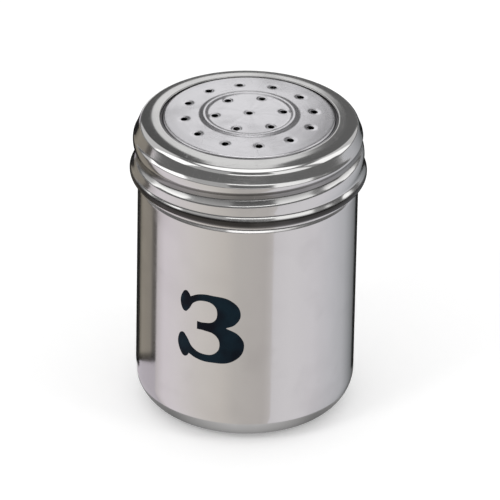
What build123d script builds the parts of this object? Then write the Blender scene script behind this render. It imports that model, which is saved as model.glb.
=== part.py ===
from build123d import *
from math import asin, cos, degrees, radians, sin, sqrt, tan
import os

# A stainless seasoning can: a drawn cup, a rolled screw ring, and a perforated
# plate held between the two. Millimetres, +Z up, origin at the middle of the
# base, front towards -Y. Radii are to the outer face of the sheet, and bends
# are to its inner face.

# The cup
body_radius = 30.7
body_sheet = 0.5
body_corner_bend = 9.0
body_height = 67.6
neck_inset = 0.5
neck_step_height = 1.4
neck_height = 18.0
mouth_bend = 0.5
mouth_flange_width = 1.0

# The screw ring, from its lip down to its hem
ring_sheet = 0.5
lip_width = 6.1
lip_slope = 9.0
shoulder_bend = 1.5
shoulder_height = 2.7
skirt_flare = 1.4
skirt_flare_height = 0.9
upper_wall_height = 1.8
groove_width = 5.0
groove_floor_fillet = 2.0
lower_wall_height = 3.5
hem_flare = 0.6
hem_bend = 0.95
hem_turn_under = 50.0

# The shaker plate
plate_sheet = 0.5
dome_rise = 1.3
dome_lift = 0.1
hole_diameter = 2.0
inner_ring_holes = 6
inner_ring_radius = 9.65
outer_ring_holes = 12
hole_margin = 5.8
hole_start_angle = 9.0

# Clearances between the three
seat_gap = 0.15
shoulder_clearance = 0.3
groove_clearance = 0.5
flange_clearance = 0.9
dome_clearance = 0.9

# Each radius of the ring and plate is worked out from the neck that they go on.
neck_radius = body_radius - neck_inset
shoulder_radius = neck_radius + shoulder_clearance + ring_sheet
skirt_radius = shoulder_radius + skirt_flare
groove_floor_radius = neck_radius + groove_clearance + ring_sheet
hem_radius = skirt_radius + hem_flare
lip_opening_radius = shoulder_radius - lip_width
flange_radius = shoulder_radius - ring_sheet - flange_clearance
dome_radius = lip_opening_radius - dome_clearance
outer_ring_radius = dome_radius - hole_margin

# The mouth's roll carries the plate, and the plate carries the lip. All three
# lie along one slope, so the sheets and gaps above the roll add up square to it.
mouth_roll_radius = mouth_bend + body_sheet
mouth_height = body_height + neck_height
roll_centre_radius = neck_radius - mouth_roll_radius
roll_centre_height = mouth_height - mouth_roll_radius
flange_top = mouth_roll_radius + seat_gap + plate_sheet
lip_top = flange_top + seat_gap + ring_sheet


def height_on_slope(distance, radius):
    """Height at a radius of the sloped line that runs a distance off the roll's centre."""
    slope = radians(lip_slope)
    return roll_centre_height + distance / cos(slope) - (radius - roll_centre_radius) * tan(slope)


def sheet_turned(outline, thickness):
    """A sheet turned once round the Z axis. Its outer face follows an outline
    that runs anticlockwise, so the thickness lies on the outline's left."""
    section = make_face(offset(outline, thickness, side=Side.LEFT, kind=Kind.INTERSECTION))
    return revolve(Plane.XZ * section, Axis.Z)


def can_body():
    """Drawn cup: flat base, round corner, straight wall, neck and turned-in mouth."""
    outline = FilletPolyline(
        (0, 0),
        (body_radius, 0),
        (body_radius, body_height),
        (neck_radius, body_height + neck_step_height),
        (neck_radius, mouth_height),
        (neck_radius - mouth_roll_radius - mouth_flange_width, mouth_height),
        radius=[body_corner_bend + body_sheet, 0, 0, mouth_roll_radius],
    )
    return sheet_turned(outline, body_sheet)


def screw_ring():
    """Ring from its turned-under hem, up the grooved skirt, to the sloping lip."""
    corner = height_on_slope(lip_top, shoulder_radius)
    flare_top = corner - shoulder_height
    flare_foot = flare_top - skirt_flare_height
    groove_top = flare_foot - upper_wall_height
    groove_foot = groove_top - groove_width
    hem_top = groove_foot - lower_wall_height

    hem_roll_radius = hem_bend + ring_sheet
    hem_centre_radius = hem_radius - hem_roll_radius
    hem_centre = hem_top - sqrt(hem_roll_radius**2 - (skirt_radius - hem_centre_radius) ** 2)
    under = radians(hem_turn_under)
    hem_end = (
        hem_centre_radius + hem_roll_radius * cos(under),
        hem_centre - hem_roll_radius * sin(under),
    )

    hem = ThreePointArc(hem_end, (hem_radius, hem_centre), (skirt_radius, hem_top))
    skirt = FilletPolyline(
        (skirt_radius, hem_top),
        (skirt_radius, groove_foot),
        (groove_floor_radius, (groove_foot + groove_top) / 2),
        (skirt_radius, groove_top),
        (skirt_radius, flare_foot),
        (shoulder_radius, flare_top),
        (shoulder_radius, corner),
        (lip_opening_radius, height_on_slope(lip_top, lip_opening_radius)),
        radius=[0, groove_floor_fillet, 0, 0, 0, shoulder_bend + ring_sheet],
    )
    return sheet_turned(hem + skirt, ring_sheet)


def shaker_plate():
    """Plate with a flange under the lip, a step up through it, and a pierced dome."""
    dome_edge_height = height_on_slope(lip_top, lip_opening_radius) + dome_lift
    sphere_radius = (dome_radius**2 + dome_rise**2) / (2 * dome_rise)
    sphere_centre = Pos(0, 0, dome_edge_height + dome_rise - sphere_radius)
    punch = Pos(0, 0, sphere_radius) * Cylinder(hole_diameter / 2, 4 * plate_sheet)

    flange = Polyline(
        (flange_radius, height_on_slope(flange_top, flange_radius)),
        (dome_radius, height_on_slope(flange_top, dome_radius)),
        (dome_radius, dome_edge_height),
    )
    blank = Pos(0, 0, dome_edge_height) * Cylinder(dome_radius, 4 * dome_rise)
    dome = sphere_centre * (Sphere(sphere_radius) - Sphere(sphere_radius - plate_sheet)) & blank

    # Each hole is pierced square to the dome, along a line from the sphere's centre.
    dome -= sphere_centre * punch
    for count, radius in (
        (inner_ring_holes, inner_ring_radius),
        (outer_ring_holes, outer_ring_radius),
    ):
        tilt = degrees(asin(radius / sphere_radius))
        for k in range(count):
            turn = hole_start_angle + k * 360 / count
            dome -= sphere_centre * Rot(0, 0, turn) * Rot(0, tilt, 0) * punch
    return sheet_turned(flange, plate_sheet) + dome


pieces = {
    "can_body": can_body(),
    "screw_ring": screw_ring(),
    "shaker_plate": shaker_plate(),
}

os.makedirs("parts", exist_ok=True)
for name, piece in pieces.items():
    solid = piece.solid()
    solid.label = name
    export_step(solid, f"parts/{name}.step")
    low, high = solid.bounding_box().min, solid.bounding_box().max
    print(f"{name}: z {low.Z:.2f} to {high.Z:.2f}, radius {high.X:.2f}, volume {solid.volume:.0f}")
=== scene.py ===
# %% [markdown]
# A steel seasoning can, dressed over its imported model. The can is three pieces of thin sheet:
# a drawn cup, a rolled screw ring, and a pierced plate that sits between the two. The frame
# gives each piece its place, so nothing here is moved to fit.

# %% Load the frame
from math import ceil, cos, pi, radians, sin, sqrt, tan

import bmesh
import bpy
from mathutils import Matrix, Vector


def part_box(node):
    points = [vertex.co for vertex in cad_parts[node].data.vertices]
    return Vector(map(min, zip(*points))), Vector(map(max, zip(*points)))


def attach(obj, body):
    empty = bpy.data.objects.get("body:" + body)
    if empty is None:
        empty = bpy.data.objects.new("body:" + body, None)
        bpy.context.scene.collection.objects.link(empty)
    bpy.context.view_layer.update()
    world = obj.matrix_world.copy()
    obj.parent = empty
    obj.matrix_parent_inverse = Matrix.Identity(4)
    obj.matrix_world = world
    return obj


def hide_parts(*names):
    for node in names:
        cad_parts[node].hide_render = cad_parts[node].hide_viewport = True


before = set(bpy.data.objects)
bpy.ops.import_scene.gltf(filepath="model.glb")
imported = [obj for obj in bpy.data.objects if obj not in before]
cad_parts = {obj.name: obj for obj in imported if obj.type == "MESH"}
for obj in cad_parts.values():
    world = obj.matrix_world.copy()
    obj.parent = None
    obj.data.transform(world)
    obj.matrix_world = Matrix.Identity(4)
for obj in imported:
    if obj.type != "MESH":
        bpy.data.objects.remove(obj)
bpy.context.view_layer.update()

MM = 0.001

# %% [markdown]
# The camera stands well back and looks down by about 29 degrees, as a catalogue picture is
# taken: a long lens keeps the can's sides parallel. It leans a little, so the can's top
# leans to the right in the picture.

# %% Camera
camera_elevation = radians(29)
camera_distance = 1.9
camera_lens = 489
camera_sensor = 36
camera_roll = radians(1.1)
camera_aim = Vector((0.9 * MM, 0, 45.6 * MM))

back = Vector((0, -cos(camera_elevation), sin(camera_elevation)))
camera = bpy.data.objects.new("camera", bpy.data.cameras.new("camera"))
camera.data.lens = camera_lens
camera.data.sensor_width = camera_sensor
camera.location = camera_aim + back * camera_distance
camera.rotation_mode = "QUATERNION"
level_view = (-back).to_track_quat("-Z", "Y")
camera.rotation_quaternion = Matrix.Rotation(camera_roll, 4, back).to_quaternion() @ level_view
bpy.context.collection.objects.link(camera)
bpy.context.scene.camera = camera
bpy.context.scene.view_settings.view_transform = "Standard"
print("camera", [round(c, 3) for c in camera.location])

# %% [markdown]
# Every sheet is bent from a flat strip, so its section is one line with rounded corners and
# a thickness. The corners are given as a list of radius, height and bend, and this helper
# rounds them. Long straight stretches are cut into short steps, so that a thread can be
# rolled into them later.

# %% Round the corners of a section
arc_step = radians(5)


def arc(centre, radius, start, end):
    """Points on an arc, by angle from straight outwards."""
    steps = max(2, ceil(abs(end - start) / arc_step))
    angles = [start + (end - start) * i / steps for i in range(steps + 1)]
    return [Vector((centre[0] + radius * cos(a), centre[1] + radius * sin(a))) for a in angles]


def rounded(corners):
    """A path through (radius, height, bend) corners, each bend an arc tangent to its sides."""
    path = []
    for i, (r, z, bend) in enumerate(corners):
        here = Vector((r, z))
        if bend == 0:
            path.append(here)
            continue
        behind = (Vector(corners[i - 1][:2]) - here).normalized()
        ahead = (Vector(corners[i + 1][:2]) - here).normalized()
        half = behind.angle(ahead) / 2
        centre = here + (behind + ahead).normalized() * bend / sin(half)
        first = here + behind * bend / tan(half) - centre
        last = here + ahead * bend / tan(half) - centre
        steps = max(3, ceil((pi - 2 * half) / arc_step))
        path += [centre + first.slerp(last, step / steps) * bend for step in range(steps + 1)]
    return path


def stepped(path, longest):
    """The same path with no straight stretch longer than one step."""
    fine = [path[0]]
    for start, end in zip(path, path[1:]):
        pieces = max(1, ceil((end - start).length / longest))
        fine += [start.lerp(end, i / pieces) for i in range(1, pieces + 1)]
    return fine


print("an arc of a quarter turn takes", len(arc((0, 0), 1, 0, pi / 2)), "points")

# %% [markdown]
# The section then gets its thickness: a second line runs back along the inside, and each cut
# edge of the sheet is rounded, as tumbling leaves it. A section that reaches the axis begins
# and ends there, because the two skins close by themselves when they are turned.

# %% Thicken a section
edge_steps = 6


def placed(name, data):
    """An object in the scene, for a mesh, a curve or a lamp."""
    piece = bpy.data.objects.new(name, data)
    bpy.context.collection.objects.link(piece)
    return piece


def inward(path, distance):
    """The path moved to its left, square to itself."""
    moved = []
    for i, here in enumerate(path):
        before = (here - path[i - 1]).normalized() if i else (path[1] - here).normalized()
        after = (path[i + 1] - here).normalized() if i + 1 < len(path) else before
        along = (before + after).normalized()
        stretch = max(0.5, along.dot(after))
        moved.append(here + Vector((-along.y, along.x)) * distance / stretch)
    return moved


def cut_edge(outer, inner):
    """A half circle from the outer skin to the inner one, round the cut end of the sheet."""
    centre = (outer + inner) / 2
    out = outer - centre
    turn = [Matrix.Rotation(pi * i / edge_steps, 2) @ out for i in range(1, edge_steps)]
    return [centre + spoke for spoke in turn]


def section(path, thickness):
    """The closed section of a sheet. Its outer skin is the path, which runs anticlockwise."""
    skin = inward(path, thickness)
    for own, other in zip(path, skin):
        if own.x == 0:
            other.x = 0
    if path[-1].x == 0:
        return skin[::-1] + cut_edge(skin[0], path[0]) + path
    loop = path + cut_edge(path[-1], skin[-1]) + skin[::-1]
    if path[0].x == 0:
        return loop
    return loop + cut_edge(skin[0], path[0]) + [path[0]]


def section_mesh(name, loop):
    """A line of points and edges in the plane that faces the front, in metres."""
    mesh = bpy.data.meshes.new(name)
    points = [(p.x * MM, 0, p.y * MM) for p in loop]
    mesh.from_pydata(points, [(i, i + 1) for i in range(len(points) - 1)], [])
    print(name, "section has", len(points), "points")
    return placed(name, mesh)


# %% [markdown]
# The node trees are drawn with small helpers. They join a socket to another socket or set
# its value, add a node or a sum, and mix two numbers. They keep a long rule readable.

# %% Helpers for node trees
def plug(tree, socket, value):
    """Joins a socket to another one, or gives it a plain value."""
    if isinstance(value, bpy.types.NodeSocket):
        tree.links.new(value, socket)
    else:
        socket.default_value = value


def add(tree, kind, settings=None, **inputs):
    """Adds a node, with its settings and its inputs by name. A name's _ stands for a space."""
    node = tree.nodes.new(kind)
    for key, value in (settings or {}).items():
        setattr(node, key, value)
    for key, value in inputs.items():
        plug(tree, node.inputs[key.replace("_", " ")], value)
    return node


def feed(tree, node, *values):
    """Gives a node's inputs their values, in order, and returns its outputs."""
    for socket, value in zip(node.inputs, values):
        plug(tree, socket, value)
    return node.outputs


def sums(tree):
    """A function that adds one Math node to the tree and returns its result."""
    def work(operation, *values):
        return feed(tree, add(tree, "ShaderNodeMath", {"operation": operation}), *values)[0]
    return work


def vectors(tree, operation, *values):
    """Adds one Vector Math node and returns its outputs."""
    return feed(tree, add(tree, "ShaderNodeVectorMath", {"operation": operation}), *values)


def eased(tree, value, low, high, to_low=0.0, to_high=1.0):
    """A value carried from one range to another with soft ends."""
    node = add(tree, "ShaderNodeMapRange", {"interpolation_type": "SMOOTHERSTEP"})
    return feed(tree, node, value, low, high, to_low, to_high)[0]


def mixed(tree, amount, first, second):
    """A number between two others."""
    node = add(tree, "ShaderNodeMix", {"data_type": "FLOAT"}, Factor=amount, A=first, B=second)
    return node.outputs[0]


def object_spot(tree):
    """Where a point lies on its piece."""
    return add(tree, "ShaderNodeTexCoord").outputs["Object"]


def parted(tree, vector):
    """A vector's X, Y and Z, by name."""
    return add(tree, "ShaderNodeSeparateXYZ", Vector=vector).outputs


def raised(tree, height):
    """A vector that only goes up."""
    return add(tree, "ShaderNodeCombineXYZ", Z=height).outputs[0]


def off_axis(tree):
    """Where a point lies seen from above, and how far that is from the axis."""
    flat = vectors(tree, "MULTIPLY", object_spot(tree), (1, 1, 0))[0]
    return flat, vectors(tree, "LENGTH", flat)["Value"]


def empty_material(name):
    """A material and its node tree, with nothing in the tree yet."""
    material = bpy.data.materials.new(name)
    material.use_nodes = True
    material.node_tree.nodes.clear()
    return material, material.node_tree


def glow(tree, strength, colour=(1, 1, 1, 1)):
    """Ends a material's tree with plain light."""
    light = add(tree, "ShaderNodeEmission", Strength=strength, Color=colour)
    add(tree, "ShaderNodeOutputMaterial", Surface=light.outputs[0])


def add_input(tree, name, kind, value=None):
    """A named input of a node group."""
    socket = tree.interface.new_socket(name, in_out="INPUT", socket_type=kind)
    if value is not None:
        socket.default_value = value
    return socket


print("the trees' helpers are ready")

# %% [markdown]
# Two node trees make the sheets: one turns a section, and one pierces the plate. Each ends by
# making its instances real and giving them a material, because the export drops instances.
# When a tree has run on a piece, the result is made a plain mesh and the modifier goes, so
# nothing is left to be worked out later.

# %% Finish a tree, and run it on a piece
def finish_tree(tree, geometry, material):
    """Every tree ends by making instances real and giving them their material."""
    real = add(tree, "GeometryNodeRealizeInstances", Geometry=geometry)
    painted = add(tree, "GeometryNodeSetMaterial", Geometry=real.outputs[0], Material=material)
    out = tree.nodes.new("NodeGroupOutput")
    tree.links.new(painted.outputs[0], out.inputs[0])


def run_tree(piece, tree, **values):
    """Runs a tree on a piece with its inputs by name, and leaves the piece as a plain mesh."""
    modifier = piece.modifiers.new(tree.name, "NODES")
    modifier.node_group = tree
    for item in tree.interface.items_tree:
        key = item.name.replace(" ", "_")
        if item.in_out == "INPUT" and key in values:
            modifier[item.identifier] = values[key]
    graph = bpy.context.evaluated_depsgraph_get()
    made = bpy.data.meshes.new_from_object(piece.evaluated_get(graph), depsgraph=graph)
    piece.modifiers.remove(modifier)
    piece.data = made
    made.name = piece.name
    print(piece.name, "has", len(made.polygons), "faces after", tree.name)
    return piece


print("a tree can be finished, and run on a piece")

# %% [markdown]
# A rolled thread follows a rule, so Geometry Nodes make it. The tree turns a section round
# the axis, and where the thread runs it moves both skins of the sheet in or out together,
# as a roller does. The thread's centre climbs by one pitch a turn, so each point asks how
# far it is from the nearest turn. A thread may also leave a slight swell between two turns,
# and it fades in and out along its length.

# %% A tree that turns a section and rolls a thread into it
seam_gap = 0.001 * MM


def turned_sheet_tree():
    tree = bpy.data.node_groups.new("turned_sheet", "GeometryNodeTree")
    add_input(tree, "Section", "NodeSocketGeometry")
    add_input(tree, "Points", "NodeSocketInt", 3)
    add_input(tree, "Segments", "NodeSocketInt", 256)
    for name in ("Pitch", "Height", "Depth", "Half Width", "Swell", "First Turn", "Last Turn",
                 "Fade", "Bottom", "Top", "Margin"):
        add_input(tree, name, "NodeSocketFloat", 0.0)
    add_input(tree, "Material", "NodeSocketMaterial")
    tree.interface.new_socket("Geometry", in_out="OUTPUT", socket_type="NodeSocketGeometry")
    given = tree.nodes.new("NodeGroupInput").outputs
    work = sums(tree)

    position = tree.nodes.new("GeometryNodeInputPosition").outputs[0]
    around = work("ADD", given["Segments"], 1)
    grid = add(tree, "GeometryNodeMeshGrid", Size_X=1.0, Size_Y=1.0, Vertices_X=around,
               Vertices_Y=given["Points"])
    place = parted(tree, position)
    turn = place["X"]
    up = work("ADD", place["Y"], 0.5)
    row = work("ROUND", work("MULTIPLY", up, work("SUBTRACT", given["Points"], 1)))

    picked = add(tree, "GeometryNodeSampleIndex", {"data_type": "FLOAT_VECTOR", "domain": "POINT"},
                 Geometry=given["Section"], Value=position, Index=row)
    point = parted(tree, picked.outputs[0])
    radius = point["X"]
    height = point["Z"]

    climb = work("DIVIDE", work("SUBTRACT", height, given["Height"]), given["Pitch"])
    nearest = work("ADD", work("ROUND", work("SUBTRACT", climb, turn)), turn)
    away = work("MULTIPLY", work("ABSOLUTE", work("SUBTRACT", climb, nearest)), given["Pitch"])
    rolled = eased(tree, away, 0.0, given["Half Width"], given["Depth"], 0.0)
    between = work("ABSOLUTE", work("SUBTRACT", work("MULTIPLY", given["Pitch"], 0.5), away))
    swollen = eased(tree, between, 0.0, given["Half Width"], given["Swell"], 0.0)

    past_start = work("DIVIDE", work("SUBTRACT", nearest, given["First Turn"]), given["Fade"])
    before_end = work("DIVIDE", work("SUBTRACT", given["Last Turn"], nearest), given["Fade"])
    along = work("MULTIPLY", eased(tree, past_start, 0.0, 1.0), eased(tree, before_end, 0.0, 1.0))
    above = eased(tree, work("SUBTRACT", height, given["Bottom"]), 0.0, given["Margin"])
    below = eased(tree, work("SUBTRACT", given["Top"], height), 0.0, given["Margin"])
    inside = work("MULTIPLY", above, below)
    shift = work("MULTIPLY", work("ADD", work("MULTIPLY", rolled, along), swollen), inside)

    angle = work("MULTIPLY", turn, 2 * pi)
    reach = work("ADD", radius, shift)
    right = work("MULTIPLY", reach, work("SINE", angle))
    ahead = work("MULTIPLY", reach, work("COSINE", angle))
    spot = add(tree, "ShaderNodeCombineXYZ", X=right, Y=work("MULTIPLY", ahead, -1), Z=height)
    # The thread's share is stored as 'rolled'. The steels use it to paint shade into the groove, as
    # a darker colour, and to make the groove rougher.
    share = work("DIVIDE", rolled, given["Depth"])
    groove_shade_and_roughness = work("MULTIPLY", work("MULTIPLY", share, along), inside)
    marked = add(
        tree, "GeometryNodeStoreNamedAttribute", {"data_type": "FLOAT", "domain": "POINT"},
        Geometry=grid.outputs["Mesh"], Name="rolled", Value=groove_shade_and_roughness,
    )
    turned = add(tree, "GeometryNodeSetPosition", Geometry=marked.outputs[0],
                 Position=spot.outputs[0])
    closed = add(tree, "GeometryNodeMergeByDistance", Geometry=turned.outputs[0], Distance=seam_gap)
    smooth = add(tree, "GeometryNodeSetShadeSmooth", Geometry=closed.outputs[0])
    finish_tree(tree, smooth.outputs[0], given["Material"])
    return tree


turned_sheet = turned_sheet_tree()
print(turned_sheet.name, "has", len(turned_sheet.nodes), "nodes")

# %% [markdown]
# The three pieces nest: the plate's flange rests on the can's mouth, and the ring's lip
# rests on the flange. All three lie on one gentle slope, so their heights come from one
# line. These are the sizes that the pieces share.

# %% Shared sizes, in millimetres
sheet = 0.5
neck_inset = 0.5
shoulder_past_neck = 0.8
skirt_flare = 1.4
lip_width = 6.1
dome_gap = 0.9
body_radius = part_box("can_body")[1].x / MM
mouth_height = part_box("can_body")[1].z / MM
ring_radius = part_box("screw_ring")[1].x / MM
plate_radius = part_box("shaker_plate")[1].x / MM

neck_radius = body_radius - neck_inset
shoulder_radius = neck_radius + shoulder_past_neck
skirt_radius = shoulder_radius + skirt_flare
lip_opening = shoulder_radius - lip_width
dome_radius = lip_opening - dome_gap

lip_slope = radians(9)
seat_gap = 0.15
mouth_roll = 1.0
roll_radius = neck_radius - mouth_roll
roll_height = mouth_height - mouth_roll
flange_top = mouth_roll + seat_gap + sheet
lip_top = flange_top + seat_gap + sheet

thread_pitch = 8.0
thread_height = 78.85


def on_slope(distance, radius):
    """Height of the sloped line that runs a distance off the centre of the mouth's roll."""
    return roll_height + distance / cos(lip_slope) - (radius - roll_radius) * tan(lip_slope)


print("radii", [round(v, 2) for v in (body_radius, neck_radius, skirt_radius, ring_radius)])

# %% [markdown]
# Steel for tableware is rolled, drawn and then polished on a spinning chuck, which leaves
# fine lines round the axis. The lines are one node group that every steel here shares. It
# reads the direction from the axis in place of the angle, so there is no seam at the back,
# and stretches a noise along it.

# %% Polishing lines round the axis
line_stretch = 3.0
line_kinds = (("Lines", 1.0, 2.0), ("Bands", 0.03, 1.0))


def group(name, outputs):
    """An empty shader node group with its named float outputs."""
    tree = bpy.data.node_groups.new(name, "ShaderNodeTree")
    for output in outputs:
        tree.interface.new_socket(output, in_out="OUTPUT", socket_type="NodeSocketFloat")
    return tree


def polish_lines_group():
    tree = group("polish_lines", ("Lines", "Bands"))
    add_input(tree, "Per Metre", "NodeSocketFloat", 4000.0)
    given = tree.nodes.new("NodeGroupInput").outputs
    work = sums(tree)
    flat, away = off_axis(tree)
    facing = parted(tree, vectors(tree, "NORMALIZE", flat)[0])
    height = parted(tree, object_spot(tree))["Z"]
    out = tree.nodes.new("NodeGroupOutput")
    for name, density, detail in line_kinds:
        at = add(tree, "ShaderNodeCombineXYZ")
        for axis in "XY":
            plug(tree, at.inputs[axis], work("MULTIPLY", facing[axis], line_stretch))
        scaled = work("MULTIPLY", given["Per Metre"], density)
        plug(tree, at.inputs["Z"], work("MULTIPLY", height, scaled))
        noise = add(tree, "ShaderNodeTexNoise", {"noise_dimensions": "4D"}, Vector=at.outputs[0],
                    Scale=1.0, Detail=detail)
        plug(tree, noise.inputs["W"], work("MULTIPLY", away, scaled))
        plug(tree, out.inputs[name], noise.outputs[0])
    return tree


polish_lines = polish_lines_group()
print(polish_lines.name, "has", len(polish_lines.nodes), "nodes")

# %% [markdown]
# Steel that is handled picks up hairline scratches that run every way, and soft smudges from
# fingers. Both are one group as well. The scratches are the thin edges between the cells of
# a stretched Voronoi pattern, and the smudges are a slow noise.

# %% Handling marks
smudges_per_metre = 55.0
scratch_leans = (0.5, 1.9, 2.7)
scratch_cells = (260, 260, 14)
scratch_width = 0.018


def handling_group():
    tree = group("handling_marks", ("Scratches", "Smudges"))
    work = sums(tree)
    spot = object_spot(tree)
    out = tree.nodes.new("NodeGroupOutput")
    smudge = add(tree, "ShaderNodeTexNoise", Vector=spot, Scale=smudges_per_metre, Detail=3.0,
                 Roughness=0.6)
    plug(tree, out.inputs["Smudges"], eased(tree, smudge.outputs[0], 0.45, 0.75))
    total = None
    for lean in scratch_leans:
        turned = add(tree, "ShaderNodeMapping", Vector=spot, Scale=scratch_cells,
                     Rotation=(lean, lean * 0.7, lean * 1.3))
        cells = add(tree, "ShaderNodeTexVoronoi", {"feature": "DISTANCE_TO_EDGE"},
                    Vector=turned.outputs[0], Scale=1.0)
        hair = eased(tree, cells.outputs["Distance"], 0.0, scratch_width, 1.0, 0.0)
        patch = add(tree, "ShaderNodeTexNoise", Vector=turned.outputs[0], Scale=0.25, Detail=1.0)
        hair = work("MULTIPLY", hair, eased(tree, patch.outputs[0], 0.55, 0.7))
        total = hair if total is None else work("MAXIMUM", total, hair)
    plug(tree, out.inputs["Scratches"], total)
    return tree


handling = handling_group()
print("shader groups:", polish_lines.name, "and", handling.name)

# %% [markdown]
# Shade is painted into the bottom of a rolled thread, the turn of the hem, the neck beside it and
# the gap round the plate's dome: the metal's colour is darker there, and the metal is also rougher.
# The thread's tree left its place as an attribute on the mesh. The others are known by their height
# or radius, and these masks find them.

# %% Masks by height and radius
def below(height, blur):
    """A mask that is 1 under a height on the piece, in millimetres."""
    def mask(tree):
        z = parted(tree, object_spot(tree))["Z"]
        return eased(tree, z, (height - blur) * MM, (height + blur) * MM, 1.0, 0.0)
    return mask


def beyond(radius, blur):
    """A mask that is 1 outside a radius from the axis, in millimetres."""
    def mask(tree):
        return eased(tree, off_axis(tree)[1], (radius - blur) * MM, (radius + blur) * MM)
    return mask


def outside(first):
    """A mask that is 1 where another one is 0."""
    def mask(tree):
        return sums(tree)("SUBTRACT", 1.0, first(tree))
    return mask


def joined(operation, first, second, share=1.0):
    """One mask made of another and a share of a second one."""
    def mask(tree):
        work = sums(tree)
        return work(operation, first(tree), work("MULTIPLY", second(tree), share))
    return mask


print("the masks are ready")

# %% [markdown]
# One function makes each steel, with its own colour, gloss and depth of line. The marks
# change its tone and its roughness by a small share each, and the lines and scratches also
# give it a fine relief. A slow wave in the sheet bends what it mirrors a little.

# %% Steels
# The rolled share is painted shade in the thread's groove. The bands and smudges are the steel's
# own marks.
in_tone = {"Bands": 0.25, "Smudges": 0.08, "rolled": 0.65}
in_roughness = {"Lines": 0.10, "Smudges": 0.06, "Scratches": 0.10, "shade_and_roughness": 0.12}
scratch_relief = -0.8
waves_per_metre = 34.0


def steel(name, colour, shade, gloss, line_depth, lines_per_metre, waves, shaded_places):
    material, tree = empty_material(name)
    work = sums(tree)
    lines = add(tree, "ShaderNodeGroup", {"node_tree": polish_lines}, Per_Metre=lines_per_metre)
    marks = add(tree, "ShaderNodeGroup", {"node_tree": handling})
    rolled = add(tree, "ShaderNodeAttribute", {"attribute_name": "rolled"}).outputs["Fac"]
    # The groove and the masked places get painted shade: their colour moves towards the darker one.
    # They are also made rougher.
    shade_and_roughness = work("MAXIMUM", work("MULTIPLY", rolled, in_tone["rolled"]), shaded_places(tree))

    tone = work("MULTIPLY", work("SUBTRACT", lines.outputs["Bands"], 0.5), in_tone["Bands"])
    tone = work("ADD", tone, work("MULTIPLY", marks.outputs["Smudges"], in_tone["Smudges"]))
    tone = work("ADD", tone, shade_and_roughness)
    tint = add(tree, "ShaderNodeMix", {"data_type": "RGBA", "clamp_factor": True}, Factor=tone,
               A=(*colour, 1), B=(*shade, 1))

    lined = work("SUBTRACT", lines.outputs["Lines"], 0.5)
    rough = work("ADD", gloss, work("MULTIPLY", lined, in_roughness["Lines"]))
    for mark in ("Smudges", "Scratches"):
        rough = work("ADD", rough, work("MULTIPLY", marks.outputs[mark], in_roughness[mark]))
    rough = work("ADD", rough, work("MULTIPLY", shade_and_roughness, in_roughness["shade_and_roughness"]))

    spot = object_spot(tree)
    slow = add(tree, "ShaderNodeTexNoise", Vector=spot, Scale=waves_per_metre, Detail=1.0)
    waved = add(tree, "ShaderNodeBump", Strength=1.0, Distance=waves, Height=slow.outputs[0])
    scratched = work("MULTIPLY", marks.outputs["Scratches"], scratch_relief)
    relief = work("ADD", lines.outputs["Lines"], scratched)
    bump = add(tree, "ShaderNodeBump", Strength=1.0, Distance=line_depth, Height=relief,
               Normal=waved.outputs[0])
    skin = add(tree, "ShaderNodeBsdfPrincipled", Base_Color=tint.outputs["Result"], Metallic=1.0,
               Roughness=rough, Normal=bump.outputs[0])
    add(tree, "ShaderNodeOutputMaterial", Surface=skin.outputs[0])
    print(name, "colour", colour, "gloss", gloss)
    return material


print("a steel's tone is moved by", ", ".join(in_tone))

# %% [markdown]
# The cup and the ring are polished bright, and the plate is satin, so it mirrors less sharply. Each
# steel has a darker colour for painted shade, which also comes with more roughness. The shade lies
# on the neck between the cup's step and the hem, on the hem itself and the lip's edge, and on the
# plate's flange and the dome's edge.

# %% The three steels
hem_middle = 71.8
neck_step_top = 68.7
hem_shade_top = hem_middle + 0.95
neck_shade_foot = neck_step_top + 0.3
neck_shade_top = hem_middle - 0.6
lip_shade_end = lip_opening + 0.1
flange_shade_start = dome_radius + 2
dome_shade_start = dome_radius - 0.35

# Masks of painted shade, by height and radius, in millimetres.
over_step = outside(below(neck_shade_foot, blur=0.25))
neck_shade = joined("MULTIPLY", over_step, below(neck_shade_top, blur=0.8))
lip_shade = outside(beyond(lip_shade_end, blur=0.1))
ring_shade = joined("MAXIMUM", below(hem_shade_top, blur=0.3), lip_shade, share=0.4)
dome_shade = beyond(dome_shade_start, blur=0.25)
plate_shade = joined("MAXIMUM", beyond(flange_shade_start, blur=0.25), dome_shade, share=0.55)

# A steel's second colour is its painted shade.
can_steel = steel(
    "can_steel", (0.62, 0.61, 0.605), (0.16, 0.155, 0.15), gloss=0.12, line_depth=0.0012 * MM,
    lines_per_metre=2600, waves=0.02 * MM, shaded_places=neck_shade,
)
ring_steel = steel(
    "ring_steel", (0.62, 0.615, 0.61), (0.05, 0.048, 0.046), gloss=0.11, line_depth=0.0012 * MM,
    lines_per_metre=3200, waves=0.012 * MM, shaded_places=ring_shade,
)
plate_steel = steel(
    "plate_steel", (0.70, 0.69, 0.715), (0.10, 0.098, 0.10), gloss=0.22, line_depth=0.002 * MM,
    lines_per_metre=2600, waves=0.03 * MM, shaded_places=plate_shade,
)

# %% [markdown]
# The cup starts as a flat disc. It is drawn into a can with a large soft bottom corner, and
# its top is pressed in by half a millimetre to make the neck that the ring slides over. The
# raw edge is curled inwards into a bead, which is also the seat of the plate. The thread is
# rolled outwards, so its depth is positive. Its turns lie between those of the ring.

# %% The can
corner_bend = 9.5
wall_top = 67.65
top_bend = 0.8
curl_end = radians(250)
can_step = 0.6
can_segments = 192
neck_thread_rise = 2.6
neck_thread_depth = 1.1
neck_thread_half_width = 2.3
neck_thread_top = 84.0
neck_thread_margin = 0.6

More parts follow.
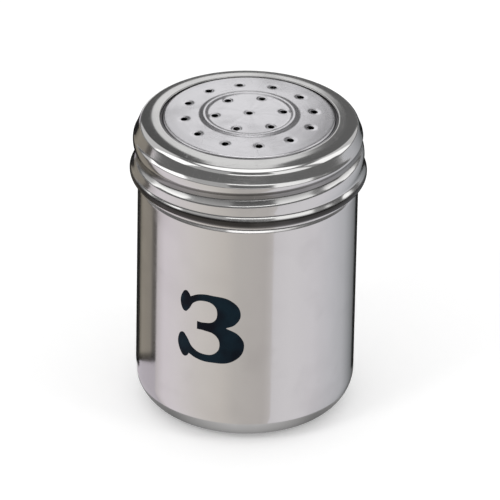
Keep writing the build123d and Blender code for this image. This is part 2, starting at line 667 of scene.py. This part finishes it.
can_path = rounded([
    (0, 0, 0),
    (body_radius, 0, corner_bend),
    (body_radius, wall_top, top_bend),
    (neck_radius, neck_step_top, 0),
    (neck_radius, roll_height, 0),
])
can_path = stepped(can_path, can_step)
can_path += arc((roll_radius, roll_height), mouth_roll, 0, curl_end)[1:]
can_loop = section(can_path, sheet)
can = section_mesh("can_shell", can_loop)
run_tree(
    can, turned_sheet, Points=len(can_loop), Segments=can_segments, Pitch=thread_pitch * MM,
    Height=(thread_height + neck_thread_rise) * MM, Depth=neck_thread_depth * MM,
    Half_Width=neck_thread_half_width * MM, Swell=0.0, First_Turn=-1.2, Last_Turn=0.02,
    Fade=0.09, Bottom=neck_step_top * MM, Top=neck_thread_top * MM,
    Margin=neck_thread_margin * MM, Material=can_steel,
)

# %% [markdown]
# The ring is a strip of sheet turned into a lid's rim. From its lip, which is crowned by a
# tenth of a millimetre, it slopes down over the plate, turns at a soft shoulder, widens in a
# steep cone to the wall, and ends in a rolled hem. Its thread is rolled inwards, so its depth
# is negative. It starts at the cone's foot and runs out into the hem.

# %% The screw ring
lip_crown = 0.11
crown_radius = 27.3
crown_bend = 16
shoulder_bend = 2.2
cone_top = shoulder_radius - 0.8
cone_drop = 4.5
cone_bend = 1.5
wall_radius = skirt_radius - 0.45
wall_bend = 1.2
hem_roll = 1.7
hem_under = radians(-50)
hem_over = radians(30)
ring_step = 0.35
ring_segments = 360
ring_thread_depth = -1.1
ring_thread_half_width = 2.7
ring_thread_swell = 0.25
thread_over_hem = 1.3
thread_over_cone_foot = 1.1
ring_thread_margin = 1.2

shoulder_corner = on_slope(lip_top, cone_top)
cone_foot = shoulder_corner - cone_drop
hem_centre = ring_radius - hem_roll
hem_arc = arc((hem_centre, hem_middle), hem_roll, hem_under, hem_over)
hem_rise = (hem_arc[-1].x - wall_radius) / tan(hem_over)

ring_path = rounded(
    [(p.x, p.y, 0) for p in hem_arc]
    + [
        (wall_radius, hem_arc[-1].y + hem_rise, wall_bend),
        (wall_radius, cone_foot, cone_bend),
        (cone_top, shoulder_corner, shoulder_bend),
        (crown_radius, on_slope(lip_top, crown_radius) + lip_crown, crown_bend),
        (lip_opening, on_slope(lip_top, lip_opening), 0),
    ]
)
ring_loop = section(stepped(ring_path, ring_step), sheet)
ring = section_mesh("ring_shell", ring_loop)
run_tree(
    ring, turned_sheet, Points=len(ring_loop), Segments=ring_segments, Pitch=thread_pitch * MM,
    Height=thread_height * MM, Depth=ring_thread_depth * MM,
    Half_Width=ring_thread_half_width * MM, Swell=ring_thread_swell * MM, First_Turn=-0.62,
    Last_Turn=0.6, Fade=0.1, Bottom=(hem_middle + thread_over_hem) * MM,
    Top=(cone_foot + thread_over_cone_foot) * MM, Margin=ring_thread_margin * MM,
    Material=ring_steel,
)

# %% [markdown]
# The plate is pressed from one disc: a flange that the ring holds down, a step up through
# the ring's opening, and a low dome. A plain bead is embossed between its two rings of
# holes and stiffens it. The flange stops short of the bend in the ring's shoulder. The plate
# has no thread, so the tree gets one of no length.

# %% The shaker plate, before it is pierced
dome_lift = 0.1
dome_edge = on_slope(lip_top, lip_opening) + dome_lift
dome_rise = 1.3
dome_sphere = (dome_radius**2 + dome_rise**2) / (2 * dome_rise)
dome_centre = dome_edge + dome_rise - dome_sphere
flange_trim = 0.6
flange_end = plate_radius - sheet / 2 - flange_trim
foot_bend = 0.35
edge_bend = 0.75
edge_width = 3
bead_radius = 12.6
bead_half_width = 1.5
bead_height = 0.3


def dome_height(radius):
    """Height of the dome's top, with its bead, at a radius."""
    off = min(1, abs(radius - bead_radius) / bead_half_width)
    bead = bead_height * (0.5 + 0.5 * cos(pi * off))
    return dome_centre + sqrt(dome_sphere**2 - radius**2) + bead


dome_step = 0.35
plate_segments = 300
dome_start = dome_radius - edge_width
dome_radii = [dome_start - i * dome_step for i in range(int(dome_start / dome_step))]
plate_path = rounded([
    (flange_end, on_slope(flange_top, flange_end), 0),
    (dome_radius, on_slope(flange_top, dome_radius), foot_bend),
    (dome_radius, dome_edge, edge_bend),
    (dome_radii[0], dome_height(dome_radii[0]), 0),
])
plate_path = stepped(plate_path, can_step)
plate_path += [Vector((r, dome_height(r))) for r in dome_radii[1:] + [0]]
plate_loop = section(plate_path, sheet)
plate = section_mesh("pour_plate", plate_loop)
run_tree(
    plate, turned_sheet, Points=len(plate_loop), Segments=plate_segments, Pitch=1.0,
    Half_Width=1.0, Depth=1.0, Material=plate_steel,
)
print("the dome is part of a ball", round(2 * dome_sphere), "mm across")

# %% [markdown]
# The holes are punched from above in one stroke, and the punch pulls a little of the metal
# down round each one. A second tree does both. It puts a point at each hole, presses the
# plate down near the points, and then cuts a round punch through at each of them, square to
# the dome. The punch repeats, so it is one cylinder placed on every point.

# %% A tree that pierces the plate
punch_sides = 40
sharp_corner = radians(40)


def pierced_tree():
    tree = bpy.data.node_groups.new("pierced", "GeometryNodeTree")
    add_input(tree, "Geometry", "NodeSocketGeometry")
    for name in ("Inner Holes", "Outer Holes"):
        add_input(tree, name, "NodeSocketInt", 6)
    for name in ("Inner Radius", "Outer Radius", "Inner Height", "Outer Height", "Middle Height",
                 "Start Angle", "Hole Radius", "Punch Length", "Ball Centre", "Pull Width",
                 "Pull Depth"):
        add_input(tree, name, "NodeSocketFloat", 0.0)
    add_input(tree, "Material", "NodeSocketMaterial")
    tree.interface.new_socket("Geometry", in_out="OUTPUT", socket_type="NodeSocketGeometry")
    given = tree.nodes.new("NodeGroupInput").outputs
    work = sums(tree)
    spot = tree.nodes.new("GeometryNodeInputPosition").outputs[0]

    holes = add(tree, "GeometryNodeJoinGeometry")
    spun = raised(tree, given["Start Angle"])
    for ring_name in ("Inner", "Outer"):
        circle = add(tree, "GeometryNodeMeshCircle", Vertices=given[ring_name + " Holes"],
                     Radius=given[ring_name + " Radius"])
        lifted = raised(tree, given[ring_name + " Height"])
        set_out = add(tree, "GeometryNodeTransform", Geometry=circle.outputs[0],
                      Translation=lifted, Rotation=spun)
        tree.links.new(set_out.outputs[0], holes.inputs[0])
    middle = add(tree, "GeometryNodeMeshLine", Count=1,
                 Start_Location=raised(tree, given["Middle Height"]))
    tree.links.new(middle.outputs[0], holes.inputs[0])
    centres = add(tree, "GeometryNodeMeshToPoints", Mesh=holes.outputs[0])

    near = add(tree, "GeometryNodeProximity", {"target_element": "POINTS"})
    tree.links.new(holes.outputs[0], near.inputs[0])
    off = work("SUBTRACT", near.outputs["Distance"], given["Hole Radius"])
    deepest = work("MULTIPLY", given["Pull Depth"], -1)
    sunk = eased(tree, off, 0.0, given["Pull Width"], deepest, 0.0)
    pressed = add(tree, "GeometryNodeSetPosition", Geometry=given["Geometry"],
                  Offset=raised(tree, sunk))

    punch = add(tree, "GeometryNodeMeshCylinder", Vertices=punch_sides,
                Radius=given["Hole Radius"], Depth=given["Punch Length"])
    out_of_ball = vectors(tree, "SUBTRACT", spot, raised(tree, given["Ball Centre"]))[0]
    upright = add(tree, "FunctionNodeAlignRotationToVector", {"axis": "Z"}, Vector=out_of_ball)
    punches = add(tree, "GeometryNodeInstanceOnPoints", Points=centres.outputs[0],
                  Instance=punch.outputs["Mesh"], Rotation=upright.outputs[0])
    solid = add(tree, "GeometryNodeRealizeInstances", Geometry=punches.outputs[0])
    cut = add(tree, "GeometryNodeMeshBoolean", {"operation": "DIFFERENCE", "solver": "EXACT"},
              Mesh_1=pressed.outputs[0], Mesh_2=solid.outputs[0])

    corner = add(tree, "GeometryNodeInputMeshEdgeAngle").outputs["Unsigned Angle"]
    sharp = add(tree, "FunctionNodeCompare", {"data_type": "FLOAT", "operation": "GREATER_THAN"})
    sharp = feed(tree, sharp, corner, sharp_corner)[0]
    smooth = add(tree, "GeometryNodeSetShadeSmooth", {"domain": "FACE"},
                 Geometry=cut.outputs["Mesh"])
    edged = add(tree, "GeometryNodeSetShadeSmooth", {"domain": "EDGE"}, Geometry=smooth.outputs[0],
                Selection=sharp, Shade_Smooth=False)
    finish_tree(tree, edged.outputs[0], given["Material"])
    return tree


pierced = pierced_tree()
print(pierced.name, "has", len(pierced.nodes), "nodes")

# %% [markdown]
# The plate gets one hole in the middle and two rings of them. The outer ring keeps its
# distance from the dome's edge.

# %% Pierce the plate
inner_holes = 6
inner_radius = 9.65
outer_holes = 12
hole_margin = 5.8
outer_radius = dome_radius - hole_margin
hole_radius = 1.0
first_hole = radians(9)
punch_length = 6 * sheet
pull_width = 0.8
pull_depth = 0.12

run_tree(
    plate, pierced, Inner_Holes=inner_holes, Outer_Holes=outer_holes,
    Inner_Radius=inner_radius * MM, Outer_Radius=outer_radius * MM,
    Inner_Height=dome_height(inner_radius) * MM, Outer_Height=dome_height(outer_radius) * MM,
    Middle_Height=dome_height(0) * MM, Start_Angle=first_hole, Hole_Radius=hole_radius * MM,
    Punch_Length=punch_length * MM, Ball_Centre=dome_centre * MM, Pull_Width=pull_width * MM,
    Pull_Depth=pull_depth * MM, Material=plate_steel,
)

# %% [markdown]
# The front carries one printed figure, a plain numeral in dark blue enamel. Its outline is
# one closed curve that bends softly through its points, apart from a few sharp ones.

# %% The numeral's outline, in millimetres from its middle
outline = [
    (-8.3, 9.7), (-7.4, 10.3), (-6.5, 9.7), (-6.0, 8.8), (-3.4, 10.1), (0.4, 10.5), (6.4, 9.3),
    (8.7, 5.6), (7.3, 2.3), (4.6, 0.8), (8.3, -1.2), (9.8, -4.8), (7.2, -9.2), (0.2, -10.7),
    (-3.9, -10.3), (-6.3, -9.3), (-6.8, -10.2), (-7.7, -10.6), (-8.7, -9.9), (-9.5, -4.1),
    (-8.4, -3.2), (-7.2, -4.2), (-5.0, -7.3), (-1.4, -8.5), (1.6, -7.6), (2.9, -4.9),
    (1.7, -1.9), (-1.8, -0.9), (-3.8, -0.9), (-3.8, 1.5), (-1.8, 1.5), (1.2, 2.5), (2.1, 5.3),
    (1.1, 7.6), (-1.6, 8.4), (-4.8, 7.2), (-6.6, 4.5), (-7.6, 3.7), (-8.7, 4.6),
]
sharp_points = {(-6.0, 8.8), (4.6, 0.8), (-6.3, -9.3), (-3.8, -0.9), (-3.8, 1.5)}
print("the outline has", len(outline), "points,", len(sharp_points), "of them sharp")

# %% [markdown]
# The outline is filled while it is flat. It is then cut into narrow strips, because only a
# mesh with enough edges can bend round the can, and given the thickness of a coat of enamel.

# %% Wrap the numeral round the can
numeral_turn = radians(-18.7)
numeral_height = 36.6
enamel = 0.06
strip_edges = range(-10, 11)
curve_steps = 16


def made_of(shape, name):
    """An object whose mesh is the shape that was worked on."""
    mesh = bpy.data.meshes.new(name)
    shape.to_mesh(mesh)
    shape.free()
    print(name, "has", len(mesh.polygons), "faces")
    return placed(name, mesh)


def flat_numeral():
    """The outline as a filled flat mesh, in millimetres."""
    curve = bpy.data.curves.new("numeral_outline", "CURVE")
    curve.dimensions = "2D"
    curve.fill_mode = "BOTH"
    curve.resolution_u = curve_steps
    spline = curve.splines.new("BEZIER")
    spline.bezier_points.add(len(outline) - 1)
    spline.use_cyclic_u = True
    for point, spot in zip(spline.bezier_points, outline):
        point.co = (*spot, 0)
        kind = "VECTOR" if spot in sharp_points else "AUTO"
        point.handle_left_type = point.handle_right_type = kind
    piece = placed("numeral", curve)
    graph = bpy.context.evaluated_depsgraph_get()
    mesh = bpy.data.meshes.new_from_object(piece.evaluated_get(graph), depsgraph=graph)
    bpy.data.objects.remove(piece)
    return mesh


def wrapped_numeral():
    """The flat numeral cut into strips, bent round the can and given its coat's thickness."""
    shape = bmesh.new()
    shape.from_mesh(flat_numeral())
    bmesh.ops.remove_doubles(shape, verts=shape.verts, dist=0.001)
    for x in strip_edges:
        everything = shape.verts[:] + shape.edges[:] + shape.faces[:]
        bmesh.ops.bisect_plane(shape, geom=everything, plane_co=(x, 0, 0), plane_no=(1, 0, 0))
    if sum(face.normal.z for face in shape.faces) < 0:
        bmesh.ops.reverse_faces(shape, faces=shape.faces)
    coat = bmesh.ops.extrude_face_region(shape, geom=shape.faces[:])["geom"]
    for vert in [part for part in coat if isinstance(part, bmesh.types.BMVert)]:
        vert.co.z += 2 * enamel
    for vert in shape.verts:
        turn = numeral_turn + vert.co.x / body_radius
        out = body_radius - enamel + vert.co.z
        vert.co = Vector((out * sin(turn), -out * cos(turn), numeral_height + vert.co.y)) * MM
    bmesh.ops.recalc_face_normals(shape, faces=shape.faces)
    return made_of(shape, "numeral")


numeral = wrapped_numeral()

# %% [markdown]
# Enamel is glossy and deep: a dark blue that turns a little greener where the coat is thin.
# A slow noise moves the colour between the two, and a fine one gives the gloss its slight
# unevenness.

# %% Enamel
def blue_enamel():
    material, tree = empty_material("blue_print")
    spot = object_spot(tree)
    slow = add(tree, "ShaderNodeTexNoise", Vector=spot, Scale=110.0, Detail=2.0)
    fine = add(tree, "ShaderNodeTexNoise", Vector=spot, Scale=900.0, Detail=2.0)
    tint = add(tree, "ShaderNodeMix", {"data_type": "RGBA"}, A=(0.001, 0.002, 0.006, 1),
               B=(0.003, 0.012, 0.020, 1), Factor=eased(tree, slow.outputs[0], 0.35, 0.65))
    bump = add(tree, "ShaderNodeBump", Strength=0.6, Distance=0.01 * MM, Height=fine.outputs[0])
    skin = add(tree, "ShaderNodeBsdfPrincipled", Base_Color=tint.outputs["Result"],
               Roughness=0.35, Specular_IOR_Level=0.08, Normal=bump.outputs[0])
    add(tree, "ShaderNodeOutputMaterial", Surface=skin.outputs[0])
    return material


numeral.data.materials.append(blue_enamel())
print("the numeral's enamel is", numeral.data.materials[0].name)

# %% [markdown]
# Polished steel has hardly any colour of its own: it shows the room. So the studio matters
# as much as the metal. The background is white, and the light that falls on the can from it
# is soft and even. The floor is plain and pale and keeps the can's soft shadow, and a little
# light of its own brings it up to the background's white.

# %% White background and floor
white_lift = 0.20
even_light = 0.85
floor_reach = 4.0
floor_tone = 0.93


def seen_directly(tree):
    """1 for rays from the camera, off gloss or through glass, and 0 for the others."""
    path = add(tree, "ShaderNodeLightPath")
    work = sums(tree)
    sharp = work("MAXIMUM", path.outputs["Is Glossy Ray"], path.outputs["Is Transmission Ray"])
    return work("MAXIMUM", path.outputs["Is Camera Ray"], sharp)


def background():
    world = bpy.data.worlds.new("white_background")
    world.use_nodes = True
    bpy.context.scene.world = world
    tree = world.node_tree
    tree.nodes.clear()
    strength = mixed(tree, seen_directly(tree), even_light, 1.0)
    sky = add(tree, "ShaderNodeBackground", Strength=strength, Color=(1, 1, 1, 1))
    add(tree, "ShaderNodeOutputWorld", Surface=sky.outputs[0])


def floor_piece():
    shape = bmesh.new()
    bmesh.ops.create_circle(shape, cap_ends=True, segments=96, radius=floor_reach)
    piece = made_of(shape, "floor")
    material = bpy.data.materials.new("pale_floor")
    material.use_nodes = True
    tree = material.node_tree
    skin = tree.nodes["Principled BSDF"]
    skin.inputs["Base Color"].default_value = (floor_tone, floor_tone, floor_tone, 1)
    skin.inputs["Roughness"].default_value = 0.9
    skin.inputs["Specular IOR Level"].default_value = 0.0
    skin.inputs["Emission Color"].default_value = (1, 1, 1, 1)
    lift = sums(tree)("MULTIPLY", seen_directly(tree), white_lift)
    plug(tree, skin.inputs["Emission Strength"], lift)
    piece.data.materials.append(material)


background()
floor_piece()

# %% [markdown]
# The studio round the can is a big dome of panels, and only reflections see it. Bright
# panels stand at the sides, the photographer's place in front is dark but for a bright strip
# over the table, and the ceiling is dark round a bright skylight. A band over the horizon is
# the dark table, which the ring's steep cone shows. One bright window stands behind the can.
# The plate and the inner part of the lip show it, and the rest of the lip shows the dark
# round it. Each dark line and highlight on a bend of the sheet is an edge of one of these.
# Turns are in degrees from the front, anticlockwise seen from above, and a panel is listed
# by where it starts. Rises are in degrees over the horizon, from where a tone starts to
# change to where it has changed.

# %% The studio's panels
panel_edge = 2.5
panels = [
    (-180, 0.12), (-148, 0.75), (-107, 1.9), (-66, 0.55), (-20, 0.20), (27, 1.3), (66, 0.35),
    (80, 1.5), (122, 0.75), (148, 0.16),
]
table_rise = (0.5, 3.0)
table_tones = (0.40, 0.18)
wall_rise = (17.0, 20.0)
side_turns = (95.0, 105.0)
side_drop = 11.0
strip_turns = (-20, 27)
strip_rise = (18.5, 21.0)
strip_end = (26.0, 29.0)
strip_tone = 1.9
ceiling_rise = (52.0, 58.0)
ceiling_tone = 0.20
skylight_rise = (62.0, 68.0)
skylight_tone = 1.7
window_tone = 1.0
window_middle = 29.0
window_turn = -1.4
window_half_width = 8.1
window_drop = 17.2
window_edge = (0.92, 1.06)
print("the studio has", len(panels), "panels and one window")

# %% [markdown]
# One material lights the whole dome. It works out how far round and how high a point of the
# dome lies, and lays one tone over another: the panels, the table, the strip, the ceiling,
# the skylight and the window. Their edges are soft, as a real panel's look in a curved mirror.

# %% The light of the studio's dome
def room_light():
    material, tree = empty_material("room_light")
    work = sums(tree)

    def step(value, middle, high=1.0, low=0.0):
        return eased(tree, value, middle - panel_edge, middle + panel_edge, low, high)

    way = parted(tree, vectors(tree, "NORMALIZE", object_spot(tree))[0])
    x, y, z = (way[name] for name in "XYZ")
    rise = work("MULTIPLY", work("ARCSINE", z), 180 / pi)
    turn = work("MULTIPLY", work("ARCTAN2", x, work("MULTIPLY", y, -1)), 180 / pi)

    wall = panels[0][1]
    for start, tone in panels[1:]:
        wall = mixed(tree, step(turn, start), wall, tone)
    table = eased(tree, rise, *table_rise, *table_tones)
    aside = eased(tree, work("ABSOLUTE", turn), *side_turns)
    above_table = work("ADD", rise, work("MULTIPLY", aside, side_drop))
    tone = mixed(tree, eased(tree, above_table, *wall_rise), table, wall)

    left, right = strip_turns
    strip = work("MULTIPLY", step(turn, left), step(turn, right, 0.0, 1.0))
    strip = work("MULTIPLY", strip, eased(tree, rise, *strip_rise))
    strip = work("MULTIPLY", strip, eased(tree, rise, *strip_end, 1.0, 0.0))
    tone = mixed(tree, strip, tone, strip_tone)
    tone = mixed(tree, eased(tree, rise, *ceiling_rise), tone, ceiling_tone)
    tone = mixed(tree, eased(tree, rise, *skylight_rise), tone, skylight_tone)

    behind = work("MULTIPLY", work("ARCTAN2", x, y), 180 / pi)
    across = work("DIVIDE", work("SUBTRACT", behind, window_turn), window_half_width)
    lower = work("MINIMUM", work("SUBTRACT", rise, window_middle), 0.0)
    down = work("DIVIDE", lower, window_drop)
    off = work("SQRT", work("ADD", work("MULTIPLY", across, across), work("MULTIPLY", down, down)))
    pane = eased(tree, off, *window_edge, 1.0, 0.0)
    pane = work("MULTIPLY", pane, eased(tree, rise, *ceiling_rise, 1.0, 0.0))
    glow(tree, mixed(tree, pane, tone, window_tone))
    return material


print("the edges of the panels are", 2 * panel_edge, "degrees wide")

# %% [markdown]
# The dome itself is a big ball seen from inside. Cameras, shadows and soft light pass it by.

# %% Put up the dome
dome_reach = 3.5


def only_mirrored(piece):
    """Keeps a piece of the studio out of all but reflections."""
    piece.visible_camera = piece.visible_diffuse = piece.visible_shadow = False


def studio_dome():
    shape = bmesh.new()
    bmesh.ops.create_uvsphere(shape, u_segments=64, v_segments=32, radius=dome_reach)
    bmesh.ops.reverse_faces(shape, faces=shape.faces)
    piece = made_of(shape, "studio_dome")
    piece.data.materials.append(room_light())
    piece.visible_transmission = piece.visible_volume_scatter = False
    only_mirrored(piece)


studio_dome()

# %% [markdown]
# An upright wall seen from above shows only the table close by. The picture's can has
# upright bands of light and dark there, so flat cards lie round the can. A card is a wedge
# between two lines that leave the can's wall, each in the direction in which the front view
# is mirrored there, and so its edges show as upright lines. Two dark cards behind the can
# darken its edges. A stop is a turn on the wall and a colour, and a row is a reach from the
# wall, in millimetres, and a share of the colour.

# %% Cards on the table
front_rows = [(reach, 1) for reach in (3, 10, 20, 40, 70, 130, 400, 3000)]
left_rows = [(24, 0.15), (27, 0.3), (29, 1), (45, 1), (70, 1), (130, 1), (400, 1), (2500, 1)]
behind_rows = [(20, 1), (40, 1), (130, 1), (400, 1)]
front_stops = [
    (-80, (0.62, 0.58, 0.63)), (-54.5, (0.62, 0.58, 0.63)), (-54.5, (0.70, 0.66, 0.67)),
    (-48, (0.93, 0.87, 0.92)), (-40, (0.93, 0.88, 0.91)), (-24, (0.86, 0.82, 0.79)),
    (-12, (0.78, 0.74, 0.70)), (-5, (0.69, 0.66, 0.63)), (10, (0.64, 0.61, 0.59)),
    (14, (0.72, 0.69, 0.68)), (14, (0.87, 0.85, 0.88)), (24, (0.91, 0.89, 0.92)),
    (38, (0.88, 0.86, 0.90)), (50, (0.76, 0.76, 0.80)), (62, (0.60, 0.61, 0.64)),
    (74, (0.26, 0.27, 0.28)), (80, (0.12, 0.12, 0.12)), (88, (0.05, 0.05, 0.05)),
]
left_stops = [
    (-75, (0.20, 0.18, 0.15)), (-70, (0.36, 0.33, 0.28)), (-60, (0.34, 0.31, 0.27)),
    (-57.5, (0.14, 0.13, 0.12)), (-54.5, (0.14, 0.13, 0.12)),
]
behind_turns = ((77, 88), (272, 285))
behind_tone = (0.015, 0.015, 0.015)
# A painted shadow round the can's foot, for reflections only: a tone at each radius, darker nearer
# the can and darker at the sides.
foot_shadow_tones = ((18, 0.20), (25, 0.30), (29, 0.55), (33.8, 0.70))
foot_shadow_side_share = 0.45
print("the front card has", len(front_stops), "stops and", len(front_rows), "rows")

# %% [markdown]
# A card's corners are worked out from its stops and rows. Each corner keeps its own tone as an
# attribute on the mesh, so one material, which reads it, does for all of them. A painted shadow
# where the can stands, which only reflections see, is a card too, made of rings in place of wedges.
# The cards lie a little over the table, and those that overlap are at different heights.

# %% Cut the cards
turn_step = 2.0
one_step = 360


def card_spot(turn, reach):
    """Where the wall mirrors the view at a turn from the front, in millimetres."""
    a = radians(turn)
    foot = Vector((sin(a), -cos(a), 0)) * body_radius
    return foot + Vector((sin(2 * a), -cos(2 * a), 0)) * reach


def card_mesh(name, corners, tones, faces, lift):
    """A flat card a little over the table, which only reflections see."""
    mesh = bpy.data.meshes.new(name)
    mesh.from_pydata([(corner + Vector((0, 0, lift))) * MM for corner in corners], [], faces)
    shades = mesh.color_attributes.new("tone", "FLOAT_COLOR", "POINT")
    for value, tone in zip(shades.data, tones):
        value.color = (*tone, 1)
    mesh.materials.append(card_paint)
    only_mirrored(placed(name, mesh))
    print(name, "has", len(faces), "faces")


def cards(name, stops, rows, step, lift, slant=0.0):
    """Wedges that fan out from the can, each shaded from one stop's tone to the next. A row
    has its reach and a share of the tone, and a slant lengthens the reaches turn by turn."""
    corners, tones, faces = [], [], []
    for (start, tone_a), (end, tone_b) in zip(stops, stops[1:]):
        steps = ceil((end - start) / step)
        for i in range(steps + 1 if steps else 0):
            share = i / steps
            turn = start + (end - start) * share
            for k, (reach, shade) in enumerate(rows):
                here = len(corners)
                if i and k:
                    faces.append((here - 1, here - 1 - len(rows), here - len(rows), here))
                corners.append(card_spot(turn, reach * (1 + slant * (turn - stops[0][0]))))
                tones.append([(a + (b - a) * share) * shade for a, b in zip(tone_a, tone_b)])
    card_mesh(name, corners, tones, faces, lift)


def foot_card(name, segments, lift):
    """A painted shadow where the can stands, as rings round its axis, darker at the sides."""
    corners, tones, faces = [], [], []
    for ring_number, (radius, tone) in enumerate(foot_shadow_tones):
        for i in range(segments):
            turn = 2 * pi * i / segments
            after = (i + 1) % segments
            if ring_number:
                row = ring_number * segments
                faces.append((row - segments + i, row - segments + after, row + after, row + i))
            corners.append(Vector((sin(turn), -cos(turn), 0)) * radius)
            tones.append([tone * max(foot_shadow_side_share, cos(turn)**2)] * 3)
    card_mesh(name, corners, tones, faces, lift)


card_paint, paint_tree = empty_material("card_paint")
painted = add(paint_tree, "ShaderNodeAttribute", {"attribute_name": "tone"})
glow(paint_tree, 1.0, painted.outputs["Color"])

cards("cards_front", front_stops, front_rows, turn_step, lift=0.10)
cards("cards_left", left_stops, left_rows, turn_step, lift=0.15, slant=0.018)
for number, turns in enumerate(behind_turns, 1):
    stops = [(turn, behind_tone) for turn in turns]
    cards(f"card_behind_{number}", stops, behind_rows, one_step, lift=0.20)
# The painted shadow round the can's foot.
foot_card("foot_card", segments=72, lift=0.05)

# %% [markdown]
# Two soft lamps give the shadow its direction. The steel doesn't mirror them, because the
# dome's panels are already what it shows.

# %% Lamps
lamp_size = 0.35
lamp_aim = Vector((0, 0, 0.04))


def lamp(name, place, power):
    data = bpy.data.lights.new(name, "AREA")
    data.shape = "DISK"
    data.size = lamp_size
    data.energy = power
    piece = placed(name, data)
    piece.location = place
    piece.rotation_mode = "QUATERNION"
    piece.rotation_quaternion = (lamp_aim - place).to_track_quat("-Z", "Y")
    piece.visible_glossy = False
    print(name, "gives", power, "watts")


lamp("lamp_left", Vector((-0.7, -0.6, 0.8)), 2.0)
lamp("lamp_right", Vector((0.8, -0.4, 0.7)), 1.2)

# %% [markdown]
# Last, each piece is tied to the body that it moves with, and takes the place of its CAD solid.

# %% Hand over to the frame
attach(can, "can")
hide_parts("can_body")
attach(numeral, "can")
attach(ring, "ring")
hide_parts("screw_ring")
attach(plate, "plate")
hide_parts("shaker_plate")
